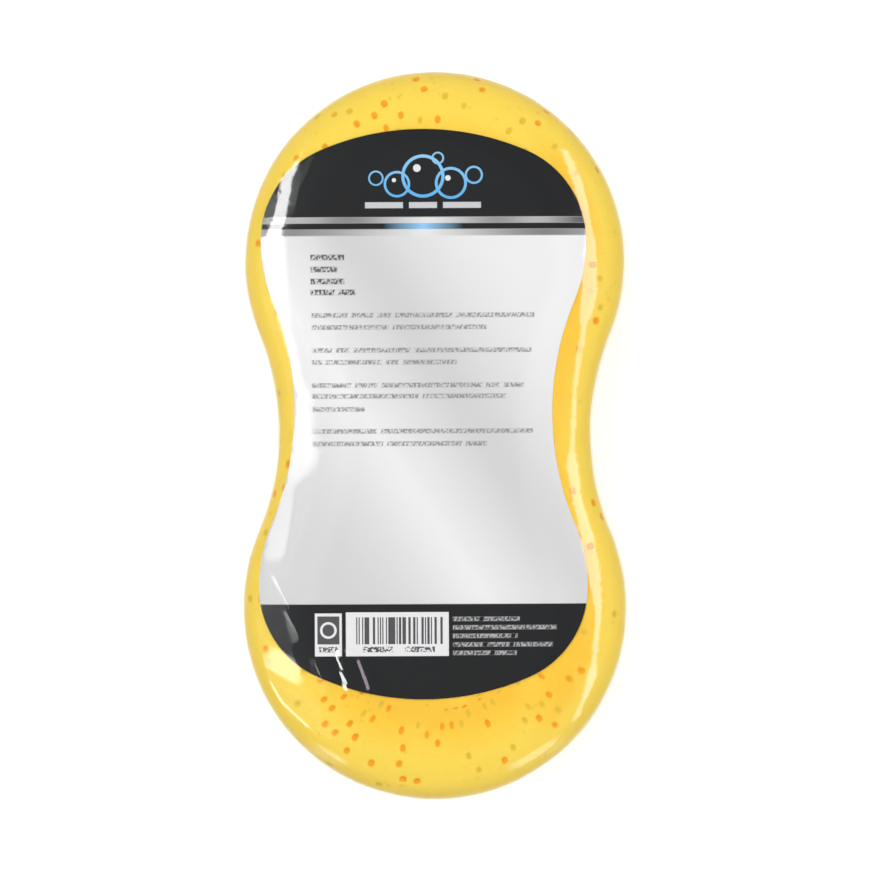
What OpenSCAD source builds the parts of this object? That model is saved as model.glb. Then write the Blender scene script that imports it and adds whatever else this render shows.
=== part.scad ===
// Figure-eight car sponge in its shop wrap: a one-piece foam block, a printed card that lies
// on its upper face, and a clear film shrunk tight round both.
//
// The wrapped sponge lies on its back. X runs across it, Y along it and Z up through it, and
// the origin is on the surface that it lies on, below the middle of the wrap.

/* [Foam block] */
// Radius of the upper lobe's outline
upper_lobe_r = 54; // [50:0.1:60]
// Radius of the lower lobe's outline
lower_lobe_r = 54.5; // [50:0.1:60]
// Distance between the centres of the two lobes
lobe_spacing = 99.6; // [90:0.1:115]
// Width across the waist
waist_w = 88.6; // [80:0.1:96]
// Thickness of the block from face to face
foam_t = 58.6; // [50:0.1:75]

/* [Foam edges] */
// Radius of the tight arc between a side and a face
edge_r = 9; // [5:0.5:12]
// Radius of the soft arc where a face rolls over towards its edge
crown_r = 45; // [30:1:60]
// Angle that the soft arc turns through
crown_angle = 25; // [12:1:30]

/* [Printed card] */
// Thickness of the card
card_t = 0.3; // [0.2:0.05:0.6]
// Margin between the foam's outline and the sides of the card
card_margin = 7; // [4:0.1:12]
// Radius of the shallow dome at each end of the card
card_dome_r = 75; // [60:1:100]
// Radius of the card's corners
card_corner_r = 28; // [18:0.5:32]
// How far the card sits to the left of the foam's middle
card_shift_x = 3.3; // [0:0.1:4]
// How far the card sits above the foam's middle
card_shift_y = 6; // [0:0.1:9]

/* [Shrink film] */
// Thickness of the film
film_t = 0.2; // [0.15:0.01:0.4]
// Clearance between one ply and the next
ply_gap = 0.1; // [0.05:0.01:0.3]
// How far the trim seal stands out from the film, all round its side
seal_out = 0.4; // [0.2:0.05:0.8]
// Height of the trim seal
seal_h = 1.2; // [0.8:0.1:3]

/* [Hidden] */
$fn = 128;

// How far the faces of the card and the film lie outside the foam
card_under = ply_gap;
card_over = card_under + card_t;
film_under = card_over + ply_gap;
film_over = film_under + film_t;

// Each side of the waist is one hollow arc that touches both lobes. The power of a lobe is its
// radius squared less half the waist squared, and upper_leg is how far the arc's centre lies
// below the upper lobe's centre.
half_waist = waist_w / 2;
upper_over = 2 * (upper_lobe_r - half_waist);
lower_over = 2 * (lower_lobe_r - half_waist);
upper_power = pow(upper_lobe_r, 2) - pow(half_waist, 2);
lower_power = pow(lower_lobe_r, 2) - pow(half_waist, 2);
over_ratio = lower_over / upper_over;
leg_term = pow(lobe_spacing, 2) - lower_power + over_ratio * upper_power;
upper_leg = leg_term / (lobe_spacing + sqrt(pow(lobe_spacing, 2) - (1 - over_ratio) * leg_term));
waist_r = (pow(upper_leg, 2) - upper_power) / upper_over;
waist_x = half_waist + waist_r;

// Places along Y, with the origin midway between the wrap's two ends
upper_y = (lobe_spacing + lower_lobe_r - upper_lobe_r) / 2;
lower_y = upper_y - lobe_spacing;
waist_y = upper_y - upper_leg;

// The rolled edge: how far in from the outline the face goes flat, and the centres of its arcs
shoulder_w = edge_r + (crown_r - edge_r) * sin(crown_angle);
crown_z = foam_t / 2 - crown_r;
edge_z = crown_z + (crown_r - edge_r) * cos(crown_angle);

// Height of the foam's middle above the surface that the wrap lies on
middle_z = film_over + foam_t / 2;

// How far in from the outline a section is drawn: past the middle of every sweep, which trims it
section_w = lobe_spacing;

// A point on the line from a centre, at an angle from straight up towards the left
function aside(centre, angle, distance) = centre + distance * [-sin(angle), cos(angle)];

function to_nearest(step, values) = [for (value = values) round(value / step) * step];

// Moves by a long decimal in a coarse step and two finer ones, which keeps all of its digits, so
// that curved faces which should run on from each other do
module place(offset) {
    coarse = to_nearest(0.1, offset);
    fine = to_nearest(0.00001, offset - coarse);
    translate(coarse)
        translate(fine)
            translate(offset - coarse - fine)
                children();
}

// A rectangle of a section, between two distances across it and two heights
module slab(near, far, low, high) {
    polygon([[near, low], [far, low], [far, high], [near, high]]);
}

// The stretch of the outline that the two hollow arcs bound: a kite between the centres of the
// lobes and of the arcs, taller than the wrap
module kite() {
    translate([0, 0, -middle_z])
        linear_extrude(4 * middle_z)
            polygon([[0, upper_y], [-waist_x, waist_y], [0, lower_y], [waist_x, waist_y]]);
}

// Sweeps a section round a lobe, as far as the waist on both sides. A section's X is the distance
// in from the foam's outline and its Y is the height over the foam's middle.
module lobe_sweep(y, radius) {
    difference() {
        translate([0, y, middle_z])
            rotate_extrude()
                intersection() {
                    translate([radius, 0])
                        mirror([1, 0])
                            children();
                    slab(0, 2 * radius, -middle_z, middle_z);
                }
        kite();
    }
}

// Sweeps a section about the hollow arc on the right side of the waist, as far as the middle
module waist_sweep() {
    intersection() {
        place([waist_x, waist_y, middle_z])
            rotate_extrude()
                place([waist_r, 0])
                    children();
        kite();
        translate([0, lower_y, -middle_z])
            cube([waist_x, lobe_spacing, 4 * middle_z]);
    }
}

module sweep_round_outline() {
    lobe_sweep(upper_y, upper_lobe_r)
        children();
    lobe_sweep(lower_y, lower_lobe_r)
        children();
    for (side = [0, 1])
        mirror([side, 0, 0])
            waist_sweep()
                children();
}

// Upper half of the foam's section, with its rolled edge, grown to the face of a ply
module upper_section(grow) {
    crown_centre = [shoulder_w, crown_z];
    clear_of_crown = (crown_r + grow) / cos(crown_angle);
    slab(-grow, section_w, 0, edge_z);
    place([edge_r, edge_z])
        circle(edge_r + grow);
    intersection() {
        place(crown_centre)
            circle(crown_r + grow);
        polygon([
            [shoulder_w, edge_z],
            [edge_r, edge_z],
            aside(crown_centre, crown_angle, clear_of_crown),
            aside(crown_centre, 0, clear_of_crown)
        ]);
    }
    slab(shoulder_w, section_w, 0, foam_t / 2 + grow);
}

// The foam's block, grown all over to the face of a ply
module block(grow) {
    sweep_round_outline() {
        upper_section(grow);
        mirror([0, 1])
            upper_section(grow);
    }
}

// Section of a ply of card over the whole upper face, bent down with the rolled edge
module card_section() {
    intersection() {
        difference() {
            upper_section(card_over);
            upper_section(card_under);
        }
        slab(-card_over, section_w, edge_z, middle_z);
    }
}

// One end of the card, above the line across its widest part: a shallow dome between two corners
// that it runs into smoothly
module card_end(half_w) {
    corner_x = half_w - card_corner_r;
    dome_to_corner = card_dome_r - card_corner_r;
    dome_centre = [0, -sqrt(pow(dome_to_corner, 2) - pow(corner_x, 2))];
    dome_angle = asin(corner_x / dome_to_corner);
    clear_of_dome = card_dome_r / cos(dome_angle);
    clear_of_corner = 2 * card_corner_r;
    intersection() {
        place(dome_centre)
            circle(card_dome_r);
        polygon([
            [corner_x, 0],
            aside(dome_centre, -dome_angle, clear_of_dome),
            aside(dome_centre, dome_angle, clear_of_dome),
            [-corner_x, 0]
        ]);
    }
    for (side = [0, 1])
        mirror([side, 0])
            intersection() {
                translate([corner_x, 0])
                    circle(card_corner_r);
                polygon([
                    [corner_x, 0],
                    [corner_x + clear_of_corner, 0],
                    [corner_x + clear_of_corner, clear_of_corner],
                    aside([corner_x, 0], -dome_angle, clear_of_corner)
                ]);
            }
}

// The space over the card's outline. Its sides keep their margin from the foam's outline, and its
// ends are domed.
module over_card() {
    intersection() {
        sweep_round_outline()
            slab(card_margin, section_w, 0, middle_z);
        translate([-waist_x, lower_y, 0])
            cube([2 * waist_x, lobe_spacing, 3 * middle_z]);
    }
    translate([0, upper_y, middle_z])
        linear_extrude(middle_z)
            card_end(upper_lobe_r - card_margin);
    translate([0, lower_y, middle_z])
        linear_extrude(middle_z)
            mirror([0, 1])
                card_end(lower_lobe_r - card_margin);
}

// Section of the bead where the two webs of film were welded and trimmed
module trim_seal() {
    slab(-film_over - seal_out, -film_over + film_t / 2, -seal_h / 2, seal_h / 2);
}

module foam_block() {
    color("gold")
        block(0);
}

module printed_card() {
    color("gainsboro")
        intersection() {
            sweep_round_outline()
                card_section();
            translate([-card_shift_x, card_shift_y, 0])
                over_card();
        }
}

module shrink_film() {
    color([0.9, 0.95, 1, 0.3]) {
        difference() {
            block(film_over);
            block(film_under);
        }
        sweep_round_outline()
            trim_seal();
    }
}

foam_block();
printed_card();
shrink_film();
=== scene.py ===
"""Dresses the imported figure-eight sponge: pitted foam, a printed card and a clear shrink film.

The sponge lies on its back, as the photo shows it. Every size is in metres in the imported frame:
X runs across the sponge, Y along it towards the card's domed upper end and Z up through it.
"""

from __future__ import annotations

import logging
import math
import random
from dataclasses import dataclass, field
from enum import Enum

import bmesh
import bpy
import numpy as np
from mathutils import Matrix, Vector, noise

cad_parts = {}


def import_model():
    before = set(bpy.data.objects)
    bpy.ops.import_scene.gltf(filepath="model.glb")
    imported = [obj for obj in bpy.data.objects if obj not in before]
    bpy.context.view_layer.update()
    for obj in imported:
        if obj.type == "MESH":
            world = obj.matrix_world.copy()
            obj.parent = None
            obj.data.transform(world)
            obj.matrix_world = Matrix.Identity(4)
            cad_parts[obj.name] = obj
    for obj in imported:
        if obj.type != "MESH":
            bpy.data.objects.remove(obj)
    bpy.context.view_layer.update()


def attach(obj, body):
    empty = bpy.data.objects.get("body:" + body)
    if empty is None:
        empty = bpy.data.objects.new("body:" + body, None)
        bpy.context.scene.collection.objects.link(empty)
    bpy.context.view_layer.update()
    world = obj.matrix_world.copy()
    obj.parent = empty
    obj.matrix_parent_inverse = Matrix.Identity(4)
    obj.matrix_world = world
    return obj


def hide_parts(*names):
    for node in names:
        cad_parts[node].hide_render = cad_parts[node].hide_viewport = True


LOG = logging.getLogger("sponge")
RIGHT_ANGLE = math.pi / 2

# Two places closer than this are the same
NEAR = 1e-6

# The photo is square and this many pixels wide. A pixel is PIXEL wide on the sponge, and the
# wrap's middle is at CENTRE_X and CENTRE_Y.
PHOTO_W = 870
PIXEL = 0.0002867
CENTRE_X, CENTRE_Y = 434.8, 435.5

# How wide the fading edge of crisp print is
EDGE_SOFT = 0.00012

# The gloss of the foam and of the card, most of which the film over them takes on
MATTE_SHINE = 0.03

Colour = tuple[float, float, float]

# A place in X and Y, or any other two numbers, such as the start and end of a span
Spot = tuple[float, float]
Socket = bpy.types.NodeSocket


def linear(tone: float) -> float:
    """Turns a tone from 0 to 255, as a picture shows it, into a share of light."""
    return ((tone / 255 + 0.055) / 1.055) ** 2.4


def on_card(column: float, row: float) -> Spot:
    """Turns a place in the photo into one on the card.

    Args:
        column: pixels from the photo's left side.
        row: pixels from its top.

    Returns:
        The place's X and Y.
    """
    return (column - CENTRE_X) * PIXEL, (CENTRE_Y - row) * PIXEL


def eased(share: np.ndarray) -> np.ndarray:
    """Eases a share from 0 to 1 in and out."""
    return share**2 * (3 - 2 * share)


def ripple(places: np.ndarray, scale: float, seed: float) -> np.ndarray:
    """Samples smooth seeded noise at points.

    Args:
        places: the points, one row each.
        scale: about how far apart its bumps are.
        seed: which noise.

    Returns:
        A value from about -1 to 1 for each point.
    """
    shift = Vector((seed * 13.7, seed * 5.3, seed * 9.1))
    return np.array([noise.noise(Vector(place) / scale + shift) for place in places])


class Ply(Enum):
    """How far the face of each ply lies outside the foam, in metres."""

    FOAM = 0.0
    CARD_TOP = 0.0004
    FILM = 0.0007


class Slot(Enum):
    """The names of the three pieces' material slots."""

    FOAM = "foam"
    CARD = "card"
    FILM = "film"


@dataclass(frozen=True)
class Arc:
    """One arc of an outline, from one angle to another about its centre."""

    centre: Spot
    radius: float
    start: float
    end: float

    def length(self) -> float:
        """Returns the length of the arc."""
        return abs(self.end - self.start) * self.radius

    def mirrored(self) -> Arc:
        """Returns the arc that faces this one across the middle, still anticlockwise."""
        across, along = self.centre
        return Arc((-across, along), self.radius, math.pi - self.end, math.pi - self.start)

    def moved(self, over: float, along: float) -> Arc:
        """Returns the same arc in another place."""
        centre = (self.centre[0] + over, self.centre[1] + along)
        return Arc(centre, self.radius, self.start, self.end)


class Outline:
    """A closed line of arcs, the same on both sides, that run on smoothly from each other."""

    def __init__(self, left: list[Arc], shift: Spot = (0.0, 0.0)) -> None:
        """Adds the right half and measures the arcs.

        Args:
            left: the left half's arcs in order, from the top down to the foot.
            shift: how far the whole outline is moved.
        """
        both = left + [arc.mirrored() for arc in reversed(left)]
        self.arcs = [arc.moved(*shift) for arc in both]
        self.ends = np.cumsum([arc.length() for arc in self.arcs])
        self.girth = float(self.ends[-1])

    def at(self, shares: np.ndarray) -> tuple[np.ndarray, np.ndarray]:
        """Finds points on the outline.

        Args:
            shares: how far round the outline each point is, from 0 to 1.

        Returns:
            The points, and the unit vectors that point straight out of the outline there.
        """
        travelled = np.mod(shares, 1.0) * self.girth
        index = np.minimum(np.searchsorted(self.ends, travelled, side="right"), len(self.arcs) - 1)
        lengths = np.array([arc.length() for arc in self.arcs])[index]
        starts = np.array([arc.start for arc in self.arcs])[index]
        turns = np.array([arc.end - arc.start for arc in self.arcs])[index]
        centres = np.array([arc.centre for arc in self.arcs])[index]
        radii = np.array([arc.radius for arc in self.arcs])[index]
        angle = starts + turns * (travelled - self.ends[index] + lengths) / lengths
        spoke = np.stack([np.cos(angle), np.sin(angle)], axis=-1)
        points = centres + radii[..., None] * spoke
        return points, spoke * np.sign(turns)[..., None]


@dataclass(frozen=True)
class WrapForm:
    """The outline and the rolled-edge section that the foam, the card and the film follow."""

    upper_r: float = 0.054
    lower_r: float = 0.0545
    spacing: float = 0.0996
    waist_w: float = 0.0886
    thick: float = 0.0586
    edge_r: float = 0.009
    crown_r: float = 0.045
    crown_angle: float = math.radians(25)
    middle_z: float = 0.03

    @property
    def upper_y(self) -> float:
        """The height along Y of the upper lobe's centre."""
        return (self.spacing + self.lower_r - self.upper_r) / 2

    @property
    def lower_y(self) -> float:
        """The height along Y of the lower lobe's centre."""
        return self.upper_y - self.spacing

    @property
    def waist(self) -> tuple[float, float, float]:
        """Solves the right waist arc, which touches both lobes.

        Returns:
            Its centre's X and Y, and its radius.
        """
        half = self.waist_w / 2
        upper_over = 2 * (self.upper_r - half)
        ratio = (self.lower_r - half) / (self.upper_r - half)
        upper_power = self.upper_r**2 - half**2
        lower_power = self.lower_r**2 - half**2
        term = self.spacing**2 - lower_power + ratio * upper_power
        leg = term / (self.spacing + math.sqrt(self.spacing**2 - (1 - ratio) * term))
        radius = (leg**2 - upper_power) / upper_over
        return half + radius, self.upper_y - leg, radius

    @property
    def waist_angles(self) -> Spot:
        """Measures how far each waist arc turns.

        Returns:
            The angle above its middle, and the one below it.
        """
        waist_x, waist_y, _ = self.waist
        up = math.atan2(self.upper_y - waist_y, waist_x)
        return up, math.atan2(waist_y - self.lower_y, waist_x)

    @property
    def shoulder(self) -> float:
        """How far in from the outline the face goes flat."""
        return self.edge_r + (self.crown_r - self.edge_r) * math.sin(self.crown_angle)

    @property
    def crown_z(self) -> float:
        """The crown arc's centre, over the foam's middle."""
        return self.thick / 2 - self.crown_r

    @property
    def edge_z(self) -> float:
        """The edge arc's centre, over the foam's middle."""
        return self.crown_z + (self.crown_r - self.edge_r) * math.cos(self.crown_angle)

    def outline(self, inset: float = 0.0) -> Outline:
        """Draws the outline, from the top of the upper lobe round by the left.

        Args:
            inset: how far inside the foam's own outline it runs.

        Returns:
            The outline.
        """
        waist_x, waist_y, waist_r = self.waist
        up, down = self.waist_angles
        upper, lower = (0.0, self.upper_y), (0.0, self.lower_y)
        return Outline(
            [
                Arc(upper, self.upper_r - inset, RIGHT_ANGLE, math.pi + up),
                Arc((-waist_x, waist_y), waist_r + inset, up, -down),
                Arc(lower, self.lower_r - inset, math.pi - down, 3 * RIGHT_ANGLE),
            ]
        )

    def inset_of(self, x: np.ndarray, y: np.ndarray) -> np.ndarray:
        """Measures how far in from the foam's outline points lie.

        Args:
            x: the points' X.
            y: the points' Y.

        Returns:
            The distances, below 0 outside the outline.
        """
        waist_x, waist_y, waist_r = self.waist
        across = np.abs(x)
        is_upper = y > waist_y
        lobe_y = np.where(is_upper, self.upper_y, self.lower_y)
        lobe_r = np.where(is_upper, self.upper_r, self.lower_r)
        in_kite = np.abs(y - waist_y) * waist_x < np.abs(lobe_y - waist_y) * (waist_x - across)
        in_lobe = lobe_r - np.hypot(across, y - lobe_y)
        in_waist = np.hypot(across - waist_x, y - waist_y) - waist_r
        return np.where(in_kite, in_waist, in_lobe)

    def height_at(self, inset: np.ndarray, ply: Ply) -> np.ndarray:
        """Finds the height of a ply's upper face.

        Args:
            inset: distances in from the foam's outline.
            ply: which face.

        Returns:
            The heights above the surface that the sponge lies on.
        """
        grow = ply.value
        crown = self.crown_r + grow
        edge = self.edge_r + grow
        from_crown = np.clip(self.shoulder - inset, 0.0, crown)
        on_crown = self.crown_z + np.sqrt(crown**2 - from_crown**2)
        from_edge = np.clip(self.edge_r - inset, 0.0, edge)
        on_edge = self.edge_z + np.sqrt(edge**2 - from_edge**2)
        meet = self.edge_r - edge * math.sin(self.crown_angle)
        height = np.where(inset > self.shoulder, self.thick / 2 + grow, on_crown)
        return self.middle_z + np.where(inset < meet, on_edge, height)

    def section(self, ply: Ply, side: int, edge: int, crown: int) -> np.ndarray:
        """Walks up the section, from the flat of the lower face to the flat of the upper one.

        Args:
            ply: which face.
            side: how many steps the upright side has.
            edge: how many steps each tight edge arc has.
            crown: how many steps each soft crown arc has.

        Returns:
            A row for each point: its distance in from the outline and its height over the
            middle.
        """
        grow = ply.value
        lean = RIGHT_ANGLE - self.crown_angle
        rows = [(-grow, self.edge_z * 2 * step / side) for step in range(side // 2 + 1)]
        for inset, height, radius, start, turn, steps in (
            (self.edge_r, self.edge_z, self.edge_r + grow, 0.0, lean, edge),
            (self.shoulder, self.crown_z, self.crown_r + grow, lean, self.crown_angle, crown),
        ):
            for step in range(1, steps + 1):
                angle = start + turn * step / steps
                rows.append(
                    (inset - radius * math.cos(angle), height + radius * math.sin(angle))
                )
        upper = np.array(rows)
        lower = upper[:0:-1] * np.array([1.0, -1.0])
        return np.concatenate([lower, upper])


class Bench:
    """The modelling operators that more than one piece uses."""

    @staticmethod
    def clear_selection() -> None:
        """Deselects every object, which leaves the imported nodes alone."""
        bpy.ops.object.select_all(action="DESELECT")

    @staticmethod
    def select(piece: bpy.types.Object) -> None:
        """Selects one piece and nothing else.

        Args:
            piece: the piece.
        """
        Bench.clear_selection()
        piece.select_set(True)
        bpy.context.view_layer.objects.active = piece

    @staticmethod
    def enter(piece: bpy.types.Object, action: str = "DESELECT") -> None:
        """Opens one piece for editing.

        Args:
            piece: the piece.
            action: DESELECT to start with nothing in it selected, or SELECT for all of it.
        """
        Bench.select(piece)
        bpy.ops.object.mode_set(mode="EDIT")
        bpy.ops.mesh.select_all(action=action)

    @staticmethod
    def leave() -> None:
        """Closes the piece that is open for editing."""
        bpy.ops.object.mode_set(mode="OBJECT")

    @staticmethod
    def coordinates(piece: bpy.types.Object) -> np.ndarray:
        """Reads the places of a piece's vertices.

        Args:
            piece: the piece.

        Returns:
            The places, one row a vertex.
        """
        places = np.empty(len(piece.data.vertices) * 3)
        piece.data.vertices.foreach_get("co", places)
        return places.reshape(-1, 3)

    @staticmethod
    def place(piece: bpy.types.Object, places: np.ndarray) -> None:
        """Moves a piece's vertices.

        Args:
            piece: the piece.
            places: the new places, one row a vertex.
        """
        piece.data.vertices.foreach_set("co", places.astype(np.float32).ravel())
        piece.data.update()

    @staticmethod
    def apply(piece: bpy.types.Object, kind: str, **settings: object) -> None:
        """Adds a modifier and applies it.

        Args:
            piece: the piece.
            kind: the modifier's type.
            settings: the modifier's settings.
        """
        Bench.select(piece)
        modifier = piece.modifiers.new(kind.title(), kind)
        for name, value in settings.items():
            setattr(modifier, name, value)
        bpy.ops.object.modifier_apply(modifier=modifier.name)

    @staticmethod
    def face_outwards(piece: bpy.types.Object) -> None:
        """Points all of a piece's faces outwards.

        Args:
            piece: the piece.
        """
        Bench.enter(piece, "SELECT")
        bpy.ops.mesh.normals_make_consistent(inside=False)
        Bench.leave()

    @staticmethod
    def finish(piece: bpy.types.Object, name: str, material: bpy.types.Material) -> None:
        """Names a piece, points its faces outwards, smooths it and gives it its material.

        Args:
            piece: the piece.
            name: its name.
            material: its material.
        """
        piece.name = name
        piece.data.name = name
        Bench.face_outwards(piece)
        bpy.ops.object.shade_smooth()
        piece.data.materials.clear()
        piece.data.materials.append(material)


@dataclass
class Skin:
    """A closed skin swept round the outline, with a grid of faces over each flat."""

    form: WrapForm
    ply: Ply
    columns: int
    side_rows: int
    edge_rows: int
    crown_rows: int
    corner: float = math.radians(50)

    def build(self) -> tuple[bpy.types.Object, np.ndarray, np.ndarray]:
        """Models the skin from a grid that is wrapped round the outline.

        Returns:
            The skin, the unit normal of the form at each vertex, and for each vertex how far
            round the outline it is, or -1 on the two flats.
        """
        section = self.form.section(self.ply, self.side_rows, self.edge_rows, self.crown_rows)
        Bench.clear_selection()
        bpy.ops.mesh.primitive_grid_add(
            x_subdivisions=self.columns, y_subdivisions=len(section) - 1, size=2
        )
        skin = bpy.context.object
        flat = Bench.coordinates(skin)
        shares = (flat[:, 0] + 1) / 2
        row = np.rint((flat[:, 1] + 1) / 2 * (len(section) - 1)).astype(int)
        points, outward = self.form.outline().at(shares)
        inset, height = section[row, 0], section[row, 1]
        places = np.column_stack(
            [points - inset[:, None] * outward, self.form.middle_z + height]
        )
        Bench.place(skin, places)
        Bench.enter(skin, "SELECT")
        bpy.ops.mesh.remove_doubles(threshold=NEAR)
        Bench.leave()
        self.fill_flat(skin, section[-1])
        self.fill_flat(skin, section[0])
        Bench.face_outwards(skin)
        return skin, self.normals(skin), self.shares(skin)

    def fill_flat(self, skin: bpy.types.Object, rim: np.ndarray) -> None:
        """Fills one flat with a grid of faces.

        Args:
            skin: the open skin.
            rim: the last row of the section there.
        """
        rim_z = self.form.middle_z + rim[1]
        mesh = skin.data
        places = Bench.coordinates(skin)
        on_rim = np.abs(places[:, 2] - rim_z) < 1e-7
        Bench.enter(skin)
        edit = bmesh.from_edit_mesh(mesh)
        edit.verts.ensure_lookup_table()
        for edge in edit.edges:
            if edge.is_boundary and on_rim[edge.verts[0].index] and on_rim[edge.verts[1].index]:
                edge.select = True
        turn = RIGHT_ANGLE - self.corner
        girth = self.form.outline().girth
        corner_share = self.form.upper_r * turn / girth
        points, outward = self.form.outline().at(np.array([corner_share]))
        target = Vector((*(points[0] - rim[0] * outward[0]), rim_z))
        start = min((v for v in edit.verts if v.select), key=lambda v: (v.co - target).length)
        edit.select_history.clear()
        edit.select_history.add(start)
        bmesh.update_edit_mesh(mesh)
        span = 2 * int(round(corner_share * self.columns))
        bpy.ops.mesh.fill_grid(span=self.columns // 2 - span, offset=0, use_interp_simple=False)
        Bench.leave()

    def normals(self, skin: bpy.types.Object) -> np.ndarray:
        """Works out the form's unit normal at each vertex.

        Args:
            skin: the skin.

        Returns:
            The normals, straight up or down on the flats.
        """
        places = Bench.coordinates(skin)
        inset = self.form.inset_of(places[:, 0], places[:, 1])
        height = places[:, 2] - self.form.middle_z
        over = np.clip(np.abs(height) - self.form.edge_z, 0.0, None)
        meet = self.form.edge_r - (self.form.edge_r + self.ply.value) * math.sin(
            self.form.crown_angle
        )
        from_crown = self.form.shoulder - inset
        on_crown = np.arccos(np.clip(from_crown / (self.form.crown_r + self.ply.value), 0, 1))
        on_edge = np.arctan2(over, self.form.edge_r - inset)
        lean = np.where(inset < meet, on_edge, on_crown)
        lean = np.where(inset > self.form.shoulder - NEAR, RIGHT_ANGLE, lean)
        step = 1e-5
        slope_x = self.form.inset_of(places[:, 0] + step, places[:, 1]) - inset
        slope_y = self.form.inset_of(places[:, 0], places[:, 1] + step) - inset
        away = -np.column_stack([slope_x, slope_y])
        away /= np.maximum(np.linalg.norm(away, axis=1, keepdims=True), 1e-12)
        return np.column_stack(
            [away * np.cos(lean)[:, None], np.sin(lean) * np.sign(height + 1e-9)]
        )

    def shares(self, skin: bpy.types.Object) -> np.ndarray:
        """Finds how far round the outline each vertex is.

        Args:
            skin: the skin.

        Returns:
            The shares of the way round, from 0 to 1, or -1 on the flats.
        """
        places = Bench.coordinates(skin)
        inset = self.form.inset_of(places[:, 0], places[:, 1])
        count = 4 * self.columns
        shares = np.arange(count) / count
        points, _ = self.form.outline().at(shares)
        found = np.full(len(places), -1.0)
        for index in np.nonzero(inset < self.form.shoulder + NEAR)[0]:
            away = points - places[index, :2]
            found[index] = shares[np.argmin(np.einsum("ij,ij->i", away, away))]
        return found


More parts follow.
